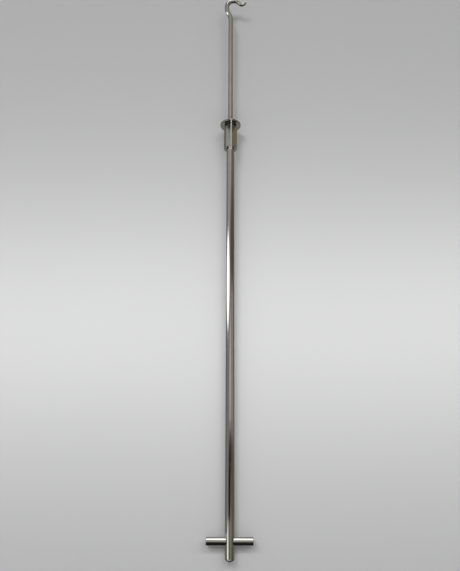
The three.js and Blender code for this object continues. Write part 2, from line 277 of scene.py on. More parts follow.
def group_of(name):
    """The shared node group of a name, made when it is first needed."""
    makers = {"drawn_lines": drawn_lines_group, "handling": handling_group,
              "soft_card": soft_card_group}
    if name not in GROUPS:
        GROUPS[name] = makers[name]()
    return GROUPS[name]


# ---- Materials ----

def start_material(name):
    made = bpy.data.materials.new(name)
    made.use_nodes = True
    tree = made.node_tree
    shader = tree.nodes["Principled BSDF"]
    coords = tree.nodes.new("ShaderNodeTexCoord")
    return made, tree, shader, coords.outputs["Object"]


def mix_colour(tree, factor, low, high):
    """Colour socket that goes from low to high; each is a colour or a socket."""
    made = node(tree, "ShaderNodeMix", data_type="RGBA")
    tree.links.new(factor, made.inputs[0])
    for slot, value in ((6, low), (7, high)):
        if isinstance(value, bpy.types.NodeSocket):
            tree.links.new(value, made.inputs[slot])
        else:
            made.inputs[slot].default_value = (*value, 1)
    return made.outputs[2]


def ranged(tree, value, low, high, from_min=0.0, from_max=1.0):
    """Socket with a value's range mapped to low and high."""
    made = node(tree, "ShaderNodeMapRange", {"From Min": from_min, "From Max": from_max,
                                             "To Min": low, "To Max": high})
    tree.links.new(value, made.inputs["Value"])
    return made.outputs["Result"]


def add_up(tree, *values):
    """Socket with the sum of all the values."""
    total = values[0]
    for value in values[1:]:
        made = node(tree, "ShaderNodeMath", operation="ADD")
        tree.links.new(total, made.inputs[0])
        tree.links.new(value, made.inputs[1])
        total = made.outputs[0]
    return total


def scaled(colour_value, factor):
    return tuple(min(1.0, c * factor) for c in colour_value)


def bump(tree, shader, height, strength, distance):
    made = node(tree, "ShaderNodeBump", {"Strength": strength, "Distance": distance})
    tree.links.new(height, made.inputs["Height"])
    tree.links.new(made.outputs["Normal"], shader.inputs["Normal"])


def metal_material(name, base, rough, line_depth, fineness, tint):
    """Polished or plated metal: drawn lines, smudges of a tint, dust and fine scratches."""
    made, tree, shader, coords = start_material(name)
    shader.inputs["Metallic"].default_value = 1.0
    lines = place_group(tree, group_of("drawn_lines"), Fineness=fineness, Stretch=0.012)
    marks = place_group(tree, group_of("handling"))
    for placed in (lines, marks):
        tree.links.new(coords, placed.inputs["Vector"])
    clean = mix_colour(tree, lines.outputs["Lines"], scaled(base, 0.975), scaled(base, 1.02))
    smudged = mix_colour(tree, ranged(tree, marks.outputs["Smudge"], 0.0, 0.3), clean, tint)
    dusty = mix_colour(tree, ranged(tree, marks.outputs["Dust"], 0.0, 0.05),
                       smudged, DUST)
    tree.links.new(dusty, shader.inputs["Base Color"])
    smooth, dull = rough
    span = dull - smooth
    roughness = add_up(tree, ranged(tree, marks.outputs["Smudge"], smooth, dull),
                       ranged(tree, marks.outputs["Scratch"], 0.0, span * 0.8),
                       ranged(tree, lines.outputs["Lines"], -span * 0.2, span * 0.2))
    tree.links.new(roughness, shader.inputs["Roughness"])
    height = add_up(tree, ranged(tree, lines.outputs["Lines"], 0.0, 1.0),
                    ranged(tree, marks.outputs["Scratch"], 0.0, -0.6))
    bump(tree, shader, height, 0.25, line_depth)
    return made


def soft_material(name, base, rough, grain_scale, grain_depth, dust):
    """Nylon or rubber: a fine moulded grain, with dust in it."""
    made, tree, shader, coords = start_material(name)
    grain = node(tree, "ShaderNodeTexNoise", {"Scale": grain_scale, "Detail": 4.0})
    tree.links.new(coords, grain.inputs["Vector"])
    marks = place_group(tree, group_of("handling"), Smudge_Scale=90.0)
    tree.links.new(coords, marks.inputs["Vector"])
    worn = mix_colour(tree, grain.outputs["Fac"], scaled(base, 0.85), scaled(base, 1.12))
    dusty = mix_colour(tree, ranged(tree, marks.outputs["Dust"], 0.0, 0.3), worn, dust)
    tree.links.new(dusty, shader.inputs["Base Color"])
    tree.links.new(ranged(tree, grain.outputs["Fac"], rough - 0.08, rough + 0.08),
                   shader.inputs["Roughness"])
    bump(tree, shader, grain.outputs["Fac"], 0.4, grain_depth)
    return made


DUST = (0.55, 0.54, 0.50)
SMUDGE = (0.66, 0.66, 0.62)


def build_materials(finishes):
    chrome = tuple(finishes.chrome)
    return {
        "rod_chrome": metal_material(
            "rod_chrome", chrome, rough=(0.05, 0.16), line_depth=0.02 * MM, fineness=1500.0,
            tint=SMUDGE),
        "tube_chrome": metal_material(
            "tube_chrome", chrome, rough=(0.035, 0.12), line_depth=0.012 * MM, fineness=1100.0,
            tint=SMUDGE),
        "collar_chrome": metal_material(
            "collar_chrome", chrome, rough=(0.03, 0.1), line_depth=0.01 * MM, fineness=1300.0,
            tint=SMUDGE),
        "zinc": metal_material(
            "zinc", tuple(finishes.zinc), rough=(0.22, 0.42), line_depth=0.02 * MM,
            fineness=2200.0, tint=(0.45, 0.44, 0.40)),
        "brass": metal_material(
            "brass", tuple(finishes.brass), rough=(0.16, 0.34), line_depth=0.02 * MM,
            fineness=2600.0, tint=(0.42, 0.27, 0.12)),
        "nylon": soft_material(
            "nylon", tuple(finishes.nylon), rough=0.5, grain_scale=900.0,
            grain_depth=0.03 * MM, dust=(0.62, 0.58, 0.48)),
        "rubber": soft_material(
            "rubber", tuple(finishes.rubber), rough=0.68, grain_scale=1600.0,
            grain_depth=0.04 * MM, dust=(0.16, 0.155, 0.145)),
    }


MATERIALS = {}


# ---- Modelling helpers ----

def deselect():
    if bpy.context.object and bpy.context.object.mode != "OBJECT":
        bpy.ops.object.mode_set(mode="OBJECT")
    bpy.ops.object.select_all(action="DESELECT")


def activate(piece):
    deselect()
    piece.select_set(True)
    bpy.context.view_layer.objects.active = piece


def select_vertices(piece, wanted):
    """In edit mode, selects only the vertices that wanted accepts."""
    mesh = bmesh.from_edit_mesh(piece.data)
    bpy.ops.mesh.select_mode(type="VERT")
    bpy.ops.mesh.select_all(action="DESELECT")
    mesh.verts.ensure_lookup_table()
    for vertex in mesh.verts:
        if wanted(vertex):
            vertex.select_set(True)
    mesh.select_flush(True)
    bmesh.update_edit_mesh(piece.data)


def apply_modifier(piece, kind, **settings):
    activate(piece)
    made = piece.modifiers.new(kind.lower(), kind)
    for key, value in settings.items():
        setattr(made, key, value)
    bpy.ops.object.modifier_apply(modifier=made.name)


def round_edges(piece, width, segments=3, angle=35):
    apply_modifier(piece, "BEVEL", width=width, segments=segments, limit_method="ANGLE",
                   angle_limit=math.radians(angle), use_clamp_overlap=True)


def set_place(piece):
    """Puts the piece's place and turn into its mesh."""
    activate(piece)
    bpy.ops.object.transform_apply(location=True, rotation=True, scale=True)


def spun(name, outline, sides, closed=False, centre=AXIS_X):
    """A piece turned about an upright axis from an outline of (radius, height) points."""
    deselect()
    bpy.ops.mesh.primitive_plane_add(size=MM, location=(centre, 0, 0))
    piece = bpy.context.object
    piece.name = name
    set_place(piece)
    bpy.ops.object.mode_set(mode="EDIT")
    bpy.ops.mesh.select_all(action="SELECT")
    bpy.ops.mesh.merge(type="CENTER")
    radius, height = outline[0]
    bpy.ops.transform.translate(value=(radius, 0, height))
    for next_radius, next_height in outline[1:]:
        step = (next_radius - radius, 0, next_height - height)
        bpy.ops.mesh.extrude_region_move(TRANSFORM_OT_translate={"value": step})
        radius, height = next_radius, next_height
    if closed:
        first = Vector((centre + outline[0][0], 0, outline[0][1]))
        last = Vector((centre + outline[-1][0], 0, outline[-1][1]))
        select_vertices(
            piece, lambda v: min((v.co - first).length, (v.co - last).length) < SAME_PLACE)
        bpy.ops.mesh.edge_face_add()
    bpy.ops.mesh.select_all(action="SELECT")
    bpy.ops.mesh.spin(steps=sides, angle=math.tau, center=(centre, 0, 0), axis=(0, 0, 1))
    bpy.ops.mesh.select_all(action="SELECT")
    bpy.ops.mesh.remove_doubles(threshold=SAME_PLACE)
    bpy.ops.mesh.select_all(action="SELECT")
    bpy.ops.mesh.normals_make_consistent(inside=False)
    bpy.ops.object.mode_set(mode="OBJECT")
    return piece


def lay(piece, turn, place):
    """Turns a piece modelled about the Z axis and moves it to its place."""
    piece.rotation_euler = turn
    piece.location = place
    set_place(piece)
    return piece


def cut_away(piece, *cutters):
    """Cuts the cutters out of the piece, and removes them."""
    for cutter in cutters:
        apply_modifier(piece, "BOOLEAN", object=cutter, operation="DIFFERENCE", solver="EXACT")
    for cutter in cutters:
        bpy.data.objects.remove(cutter)


def hold(piece, node_name, smooth_angle=30):
    """Finishes a piece: smooth shading, its material, the node it stands for and its body."""
    activate(piece)
    bpy.ops.object.shade_smooth_by_angle(angle=math.radians(smooth_angle))
    apply_modifier(piece, "WEIGHTED_NORMAL", keep_sharp=True)
    slot = SLOT_OF[node_name]
    piece.data.materials.clear()
    piece.data.materials.append(MATERIALS[slot])
    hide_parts(node_name)
    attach(piece, BODY_OF[node_name])


def plain_bar(name, radius, low, high, sides=SCREW_SIDES, centre=AXIS_X):
    return spun(name, [(0, low), (radius, low), (radius, high), (0, high)], sides, centre=centre)


def hex_bar(name, across_flats, low, high, centre=AXIS_X):
    return plain_bar(name, across_flats / math.sqrt(3), low, high, 6, centre)


def arc(centre_r, centre_z, radius, start, end, steps=8):
    """Outline points along a round, from angle start to angle end in degrees."""
    points = []
    for step in range(steps + 1):
        angle = math.radians(start + (end - start) * step / steps)
        points.append((centre_r + radius * math.cos(angle), centre_z + radius * math.sin(angle)))
    return points


ALONG_X = (0, math.pi / 2, 0)
ALONG_Y = (-math.pi / 2, 0, 0)
AXIS_POINT = (AXIS_X, 0, BAR_Z)


def foot_cutters():
    """Cutters for the stud's cross hole and the grub screw's hole in the back."""
    reach = 30 * MM
    cross = plain_bar("cutter", STUD_BORE_R, -reach, reach, SCREW_SIDES, centre=0)
    back = plain_bar("cutter", FOOT_SCREW_BORE_R, 0, 20 * MM, BORE_SIDES, centre=0)
    return lay(cross, ALONG_X, AXIS_POINT), lay(back, ALONG_Y, AXIS_POINT)


# ---- Operators, one for each piece or group of like pieces ----

class OBJECT_OT_hook_rod(bpy.types.Operator):
    """Model the thin rod with its neck, crook and turned-back lip"""
    bl_idname = "object.drop_rod_hook"
    bl_label = "Hook rod"
    bl_options = {"REGISTER", "UNDO"}

    def execute(self, context):
        sizes = context.scene.rod_sizes
        shoulder = heights("guide_bush")[1] + CLEARANCE
        neck_start = -sizes.neck_start
        neck_top = neck_start + sizes.neck_rise
        crook_z = neck_top + sizes.hook_straight
        crook_x = AXIS_X - sizes.neck_offset + sizes.crook_radius
        deselect()
        bpy.ops.mesh.primitive_circle_add(
            vertices=64, radius=sizes.rod_radius, fill_type="NGON", location=(AXIS_X, 0, shoulder))
        piece = bpy.context.object
        piece.name = "hooked_rod"
        set_place(piece)
        bpy.ops.object.mode_set(mode="EDIT")
        bpy.ops.mesh.select_all(action="SELECT")
        self.centre = Vector((AXIS_X, 0, shoulder))
        self.radius = sizes.rod_radius

        self.grow(Vector((0, 0, neck_start - shoulder)))
        rise, offset = sizes.neck_rise, sizes.neck_offset
        neck_r = (rise ** 2 + offset ** 2) / (4 * offset)
        lean = math.asin(rise / (2 * neck_r))
        self.bend(AXIS_X - neck_r, neck_start, -lean, 12, self.radius)
        self.bend(AXIS_X + neck_r - offset, neck_top, lean, 12, self.radius)
        self.grow(Vector((0, 0, crook_z - neck_top)))
        self.bend(crook_x, crook_z, math.pi - sizes.crook_end, 40, sizes.crook_thin)
        reach = sizes.crook_radius + sizes.lip_radius
        lip_x = crook_x + reach * math.cos(sizes.crook_end)
        lip_z = crook_z + reach * math.sin(sizes.crook_end)
        lip_sweep = math.pi / 2 + sizes.lip_angle - sizes.crook_end
        self.bend(lip_x, lip_z, -lip_sweep, 18, sizes.tip_radius)
        along = Vector((math.cos(sizes.lip_angle), 0, math.sin(sizes.lip_angle)))
        self.grow(along * sizes.tip_length)
        cap_steps, cap_sweep = 7, 84
        for step in range(1, cap_steps + 1):
            start = math.radians(cap_sweep * (step - 1) / cap_steps)
            end = math.radians(cap_sweep * step / cap_steps)
            self.grow(along * sizes.tip_radius * (math.sin(end) - math.sin(start)))
            self.thin(sizes.tip_radius * math.cos(end))
        bpy.ops.mesh.select_all(action="SELECT")
        bpy.ops.mesh.normals_make_consistent(inside=False)
        bpy.ops.object.mode_set(mode="OBJECT")
        end_r, chamfer = 3 * MM, 0.6 * MM
        end_z = heights("hook_rod")[0]
        end = spun("spigot", [(0, end_z), (end_r - chamfer, end_z), (end_r, end_z + chamfer),
                              (end_r, shoulder + MM), (0, shoulder + MM)], BORE_SIDES)
        apply_modifier(piece, "BOOLEAN", object=end, operation="UNION", solver="EXACT")
        bpy.data.objects.remove(end)
        hold(piece, "hook_rod", 40)
        return {"FINISHED"}

    def grow(self, step):
        """Extrudes the open end straight on."""
        bpy.ops.mesh.extrude_region_move(TRANSFORM_OT_translate={"value": step})
        self.centre = self.centre + step

    def thin(self, radius):
        """Resizes the open end to a radius about its own centre."""
        share = radius / self.radius
        bpy.ops.transform.resize(value=(share, share, share), center_override=self.centre)
        self.radius = radius

    def bend(self, centre_x, centre_z, angle, steps, end_radius):
        """Spins the open end round a centre, thinning it evenly; a positive angle goes to +X."""
        start_radius = self.radius
        middle = Vector((centre_x, 0, centre_z))
        turn = Matrix.Rotation(angle / steps, 3, "Y")
        for step in range(1, steps + 1):
            bpy.ops.mesh.spin(steps=1, angle=-angle / steps, center=middle, axis=(0, 1, 0))
            self.centre = middle + turn @ (self.centre - middle)
            if end_radius != start_radius:
                self.thin(start_radius + (end_radius - start_radius) * step / steps)


class OBJECT_OT_tube(bpy.types.Operator):
    """Model the outer tube with its cross bore, grub screw hole and ring groove"""
    bl_idname = "object.drop_rod_tube"
    bl_label = "Outer tube"
    bl_options = {"REGISTER", "UNDO"}

    def execute(self, context):
        sizes = context.scene.rod_sizes
        ring_low, ring_high = heights("retaining_ring")
        groove_low, groove_high = ring_low - 0.2 * MM, ring_high + 0.2 * MM
        groove_r = TUBE_R - 0.5 * MM
        low, high = TUBE_LOW.z, TUBE_HIGH.z
        inner = TUBE_R - TUBE_WALL
        rows = [BAR_Z - 9 * MM, BAR_Z + 9 * MM]
        outline = [(inner, low), (TUBE_R, low), *[(TUBE_R, z) for z in rows],
                   (TUBE_R, groove_low), (groove_r, groove_low), (groove_r, groove_high),
                   (TUBE_R, groove_high), (TUBE_R, high), (inner, high),
                   *[(inner, z) for z in reversed(rows)]]
        piece = spun("outer_tube_shell", outline, sizes.bar_sides, closed=True)
        round_edges(piece, 0.15 * MM, 2)
        cut_away(piece, *foot_cutters())
        hold(piece, "outer_tube")
        return {"FINISHED"}


class OBJECT_OT_foot(bpy.types.Operator):
    """Model the foot plug with its rounded head, and the rubber pad above it"""
    bl_idname = "object.drop_rod_foot"
    bl_label = "Foot plug and pad"
    bl_options = {"REGISTER", "UNDO"}

    def execute(self, context):
        sizes = context.scene.rod_sizes
        round_r = 3 * MM
        chamfer = 0.15 * MM
        head = TUBE_LOW.z - CLEARANCE
        low, high = heights("foot_plug")
        outline = [(0, low), *arc(TUBE_R - round_r, low + round_r, round_r, -90, 0, 12),
                   (TUBE_R, head - chamfer), (TUBE_R - chamfer, head), (PLUG_R, head),
                   (PLUG_R, high - MM), (PLUG_R - MM, high), (0, high)]
        plug = spun("foot_plug_turned", outline, sizes.bar_sides)
        cut_away(plug, *foot_cutters())
        hold(plug, "foot_plug", 25)
        low, high = heights("bottom_buffer")
        pad_r = half_of("bottom_buffer", X)
        pad = spun("foot_pad", [(0, low), (pad_r, low), (pad_r, high),
                                (pad_r - 2 * MM, high), (0, high - MM)], 64)
        round_edges(pad, 0.6 * MM, 3, 50)
        hold(pad, "bottom_buffer")
        return {"FINISHED"}


class OBJECT_OT_t_bar(bpy.types.Operator):
    """Model the T-bar's two pegs, the stud that carries them and its grub screw"""
    bl_idname = "object.drop_rod_t_bar"
    bl_label = "T-bar"
    bl_options = {"REGISTER", "UNDO"}

    def execute(self, context):
        sizes = context.scene.rod_sizes
        end = PEG_HIGH.x - AXIS_X
        start = 2 * MM
        for side, name in ((1, "peg_right"), (-1, "peg_left")):
            outline = [(0, start), (BAR_R, start), (BAR_R, end), (0, end)]
            peg = spun(name + "_bar", outline, sizes.bar_sides, centre=0)
            round_edges(peg, 0.8 * MM, 4)
            lay(peg, (0, side * math.pi / 2, 0), AXIS_POINT)
            saddle = plain_bar("cutter", TUBE_R + CLEARANCE, BAR_Z - 20 * MM, BAR_Z + 20 * MM, 96)
            hole = plain_bar("cutter", STUD_BORE_R, 0, 29 * MM, BORE_SIDES, centre=0)
            lay(hole, (0, side * math.pi / 2, 0), AXIS_POINT)
            cut_away(peg, saddle, hole)
            round_edges(peg, 0.2 * MM, 2, 50)
            hold(peg, name)
        half = half_of("cross_stud", X)
        ridges = thread(half_of("cross_stud", Z), -half, half, 1.25 * MM, 0.5 * MM)
        outline = [(0, -half), *ridges, (0, half)]
        stud = spun("cross_stud_threaded", outline, BORE_SIDES, centre=0)
        lay(stud, ALONG_X, AXIS_POINT)
        hold(stud, "cross_stud")
        screw_low, screw_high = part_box("foot_grub_screw")
        screw = grub_screw("foot_screw", 2.5 * MM, screw_low.y, screw_high.y, 2.5 * MM)
        lay(screw, ALONG_Y, AXIS_POINT)
        hold(screw, "foot_grub_screw")
        return {"FINISHED"}


def thread(radius, low, high, pitch, depth):
    """Outline of the ridges of a thread, from low to high, as separate rings."""
    count = int((high - low) / pitch)
    rest = (high - low - count * pitch) / 2
    points = [(radius - depth, low)]
    for turn in range(count):
        base = low + rest + turn * pitch
        points += [(radius - depth, base + 0.15 * pitch), (radius, base + 0.42 * pitch),
                   (radius, base + 0.58 * pitch), (radius - depth, base + 0.85 * pitch)]
    return points + [(radius - depth, high)]


def grub_screw(name, radius, low, high, across_flats):
    """A threaded grub screw about the Z axis with a hexagon socket in its upper end."""
    outline = [(0, low), (radius - 0.5 * MM, low),
               *thread(radius, low + 0.4 * MM, high - 0.35 * MM, 0.7 * MM, 0.3 * MM),
               (radius - 0.4 * MM, high), (0, high)]
    screw = spun(name, outline, SCREW_SIDES, centre=0)
    cut_away(screw, hex_bar("cutter", across_flats, high - 1.5 * MM, high + MM, 0))
    return screw


class OBJECT_OT_collar(bpy.types.Operator):
    """Model the turning collar: sleeve, flange cap, its screws, wiper and O-ring"""
    bl_idname = "object.drop_rod_collar"
    bl_label = "Flanged collar"
    bl_options = {"REGISTER", "UNDO"}

    def execute(self, context):
        sizes = context.scene.rod_sizes
        low, high = heights("collar_sleeve")
        bore = TUBE_R + CLEARANCE
        wide_bore = THREAD_R + CLEARANCE
        lip = low + 8 * MM
        ring_low, ring_high = heights("collar_o_ring")
        ring_r = half_of("collar_o_ring", X)
        groove_r = ring_r + 0.05 * MM
        groove_low, groove_high = ring_low - 0.2 * MM, ring_high + 0.2 * MM
        outline = [(bore, low), (COLLAR_R, low), (COLLAR_R, high), (wide_bore, high),
                   (wide_bore, lip), (bore, lip), (bore, groove_high), (groove_r, groove_high),
                   (groove_r, groove_low), (bore, groove_low)]
        sleeve = spun("collar_sleeve_turned", outline, sizes.bar_sides, closed=True)
        round_edges(sleeve, 0.5 * MM, 3, 60)
        screw_boxes = [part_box("flange_grub_screw_%d" % n) for n in (1, 2)]
        places = [((low_c + high_c) / 2) for low_c, high_c in screw_boxes]
        angles = [math.atan2(place.y, place.x - AXIS_X) for place in places]
        height = places[0].z
        cutters = [self.screw_bore(angle, height) for angle in angles]
        cut_away(sleeve, *cutters)
        hold(sleeve, "collar_sleeve")

        rod_bore = sizes.rod_radius + CLEARANCE
        wiper_low, wiper_high = heights("wiper_ring")
        wiper_r = half_of("wiper_ring", X)
        pocket_r = wiper_r + 0.2 * MM
        pocket_z = wiper_low - CLEARANCE
        hub_r = THREAD_R
        under = high + CLEARANCE
        hub_z, top = heights("flange_cap")
        edge = MM
        outline = [(rod_bore, hub_z), (hub_r - 0.5 * MM, hub_z), (hub_r, hub_z + 0.5 * MM),
                   (hub_r, under),
                   *arc(FLANGE_R - edge, under + edge, edge, -90, 0, 8),
                   *arc(FLANGE_R - edge, top - edge, edge, 0, 90, 8),
                   (pocket_r + 0.4 * MM, top), (pocket_r, top - 0.4 * MM),
                   (pocket_r, pocket_z), (rod_bore, pocket_z)]
        cap = spun("flange_cap_turned", outline, sizes.bar_sides, closed=True)
        cutters = [self.screw_bore(angle, height) for angle in angles]
        cut_away(cap, *cutters)
        hold(cap, "flange_cap", 25)

        for number, angle in enumerate(angles, 1):
            screw = grub_screw("flange_screw_%d" % number, 1.5 * MM, 6.4 * MM,
                               COLLAR_R - CLEARANCE, 1.5 * MM)
            lay(screw, (0, math.pi / 2, angle), (AXIS_X, 0, height))
            hold(screw, "flange_grub_screw_%d" % number)

        lip_r = sizes.rod_radius + PRESS_GAP
        outline = [(lip_r + 0.3 * MM, wiper_low), (wiper_r, wiper_low),
                   (wiper_r, wiper_high - 0.7 * MM), (wiper_r - MM, wiper_high),
                   (lip_r + 0.7 * MM, wiper_high), (lip_r, wiper_high - 0.6 * MM)]
        wiper = spun("wiper_seal", outline, SEAL_SIDES, closed=True)
        round_edges(wiper, 0.15 * MM, 3)
        hold(wiper, "wiper_ring")
        section = (ring_high - ring_low) / 2
        outline = arc(ring_r - section, ring_low + section, section, 0, 337.5, 15)
        seal = spun("collar_seal", outline, SEAL_SIDES, closed=True)
        hold(seal, "collar_o_ring", 60)
        return {"FINISHED"}

    def screw_bore(self, angle, height):
        """Cutter for one flange screw's hole, through sleeve and hub."""
        cutter = plain_bar("cutter", FLANGE_SCREW_BORE_R, 6 * MM, 20 * MM, BORE_SIDES, centre=0)
        return lay(cutter, (0, math.pi / 2, angle), (AXIS_X, 0, height))


class OBJECT_OT_gland(bpy.types.Operator):
    """Model the parts inside the collar: gland, collet, washer, spring ring and top buffer"""
    bl_idname = "object.drop_rod_gland"
    bl_label = "Gland and collet"
    bl_options = {"REGISTER", "UNDO"}

    def execute(self, context):
        sizes = context.scene.rod_sizes
        rod_bore = sizes.rod_radius + CLEARANCE
        low, high = heights("gland_body")
        head = TUBE_HIGH.z + CLEARANCE
        core_r = THREAD_R - MM
        collet_low, collet_high = heights("collet")
        collet_r = half_of("collet", Y)
        seat_r, seat_z = 6.8 * MM, collet_low - CLEARANCE
        outline = [(rod_bore, low), (PLUG_R - 0.5 * MM, low), (PLUG_R, low + 0.5 * MM),
                   (PLUG_R, head), (core_r, head),
                   *thread(THREAD_R, head + 0.6 * MM, high - 0.6 * MM, 1.5 * MM, 0.8 * MM),
                   (core_r, high), (collet_r + CLEARANCE, high), (seat_r, seat_z),
                   (rod_bore, seat_z)]
        gland = spun("gland_threaded", outline, SEAL_SIDES, closed=True)
        hold(gland, "gland_body", 20)

        grip_r, nose_r = sizes.rod_radius + PRESS_GAP, 6.4 * MM
        outline = [(grip_r, collet_low), (nose_r, collet_low), (collet_r, collet_high - MM),
                   (collet_r, collet_high), (grip_r, collet_high)]
        collet = spun("collet_split", outline, SEAL_SIDES, closed=True)
        round_edges(collet, 0.2 * MM, 2)
        slits = []
        for angle, slit_length in ((0, 20 * MM), (120, 9 * MM), (240, 9 * MM)):
            turn = math.radians(angle)
            middle = collet_low - MM + slit_length / 2
            slits.append(self.slot_cutter(
                (12 * MM, 1.2 * MM, slit_length), 6 * MM, middle, turn))
        cut_away(collet, *slits)
        hold(collet, "collet")

        washer_r = half_of("thrust_washer", X)
        self.ring_piece("thrust_washer", "washer_turned", rod_bore + 0.4 * MM, washer_r, 0.2 * MM)
        keeper = self.ring_shape("retaining_ring", "spring_ring", TUBE_R - CLEARANCE, 9.7 * MM)
        ring_low = heights("retaining_ring")[0]
        cut_away(keeper, self.slot_cutter((20 * MM, 3 * MM, 10 * MM), 10 * MM, ring_low, 0))
        round_edges(keeper, 0.2 * MM, 2)
        hold(keeper, "retaining_ring")
        buffer_r = half_of("top_buffer", Y)
        self.ring_piece("top_buffer", "buffer_ring", rod_bore + 0.3 * MM, buffer_r, 0.6 * MM)
        return {"FINISHED"}

    def slot_cutter(self, size, out, middle, turn):
        """A block set out from the axis, turned about it, that cuts a slot through a ring."""
        deselect()
        bpy.ops.mesh.primitive_cube_add(size=1)
        block = bpy.context.object
        block.scale = size
        place = (AXIS_X + out * math.cos(turn), out * math.sin(turn), middle)
        return lay(block, (0, 0, turn), place)

    def ring_shape(self, node_name, name, inner, outer):
        """A flat ring as high as its node's box."""
        low, high = heights(node_name)
        outline = [(inner, low), (outer, low), (outer, high), (inner, high)]
        return spun(name, outline, SEAL_SIDES, closed=True)

    def ring_piece(self, node_name, name, inner, outer, rounding):
        piece = self.ring_shape(node_name, name, inner, outer)
        round_edges(piece, rounding, 3)
        hold(piece, node_name)


class OBJECT_OT_rod_end(bpy.types.Operator):
    """Model the guide bush at the rod's inner end, with its washer and nut"""
    bl_idname = "object.drop_rod_rod_end"
    bl_label = "Rod end"
    bl_options = {"REGISTER", "UNDO"}

    def execute(self, context):
        low, high = heights("guide_bush")
        bore = SPIGOT_BORE_R
        waist, land = PLUG_R - 0.8 * MM, 6 * MM
        outline = [(bore, low), (PLUG_R, low), (PLUG_R, low + land), (waist, low + land + MM),
                   (waist, high - land - MM), (PLUG_R, high - land), (PLUG_R, high),
                   (bore, high)]
        bush = spun("guide_bush_turned", outline, SEAL_SIDES, closed=True)
        round_edges(bush, 0.5 * MM, 3, 50)
        hold(bush, "guide_bush")
        low, high = heights("rod_end_washer")
        washer_r = 6 * MM
        outline = [(bore, low), (washer_r, low), (washer_r, high), (bore, high)]
        washer = spun("end_washer", outline, 64, closed=True)
        round_edges(washer, 0.2 * MM, 2)
        hold(washer, "rod_end_washer")
        low, high = heights("rod_end_nut")
        nut = hex_bar("end_nut", 10 * MM, low, high)
        face_r, corner_r, past = 4.9 * MM, 5.9 * MM, 8 * MM
        corner_cut = [(face_r, low - MM), (past, low - MM), (past, high + MM),
                      (face_r, high + MM), (face_r, high), (corner_r, high - 0.6 * MM),
                      (corner_r, low + 0.6 * MM), (face_r, low)]
        corners = spun("cutter", corner_cut, 64, closed=True)
        bore_bar = plain_bar("cutter", bore, low - MM, high + MM, BORE_SIDES)
        cut_away(nut, corners, bore_bar)
        hold(nut, "rod_end_nut")
        return {"FINISHED"}


# ---- Stage ----

EYE_DISTANCE = 0.835
EYE_ABOVE_FOOT = 0.250
EYE_PITCH = math.radians(14.9)
EYE_ROLL = math.radians(0.12)
EYE_SIDE = -0.4 * MM
FOCAL_LENGTH = 28.25
WALL_AT_FLANGE = FLANGE_R + 2 * MM
WALL_AT_FOOT = 11.5 * MM

# Strengths of the surroundings: as light, as the camera sees them, and as chrome mirrors them.
LIGHT_STRENGTH = 0.30
SEEN_STRENGTH = 0.75
MIRRORED_STRENGTH = 1.2
ROOM_LEFT = (0.150, 0.152, 0.128)
ROOM_RIGHT = (0.19, 0.18, 0.16)


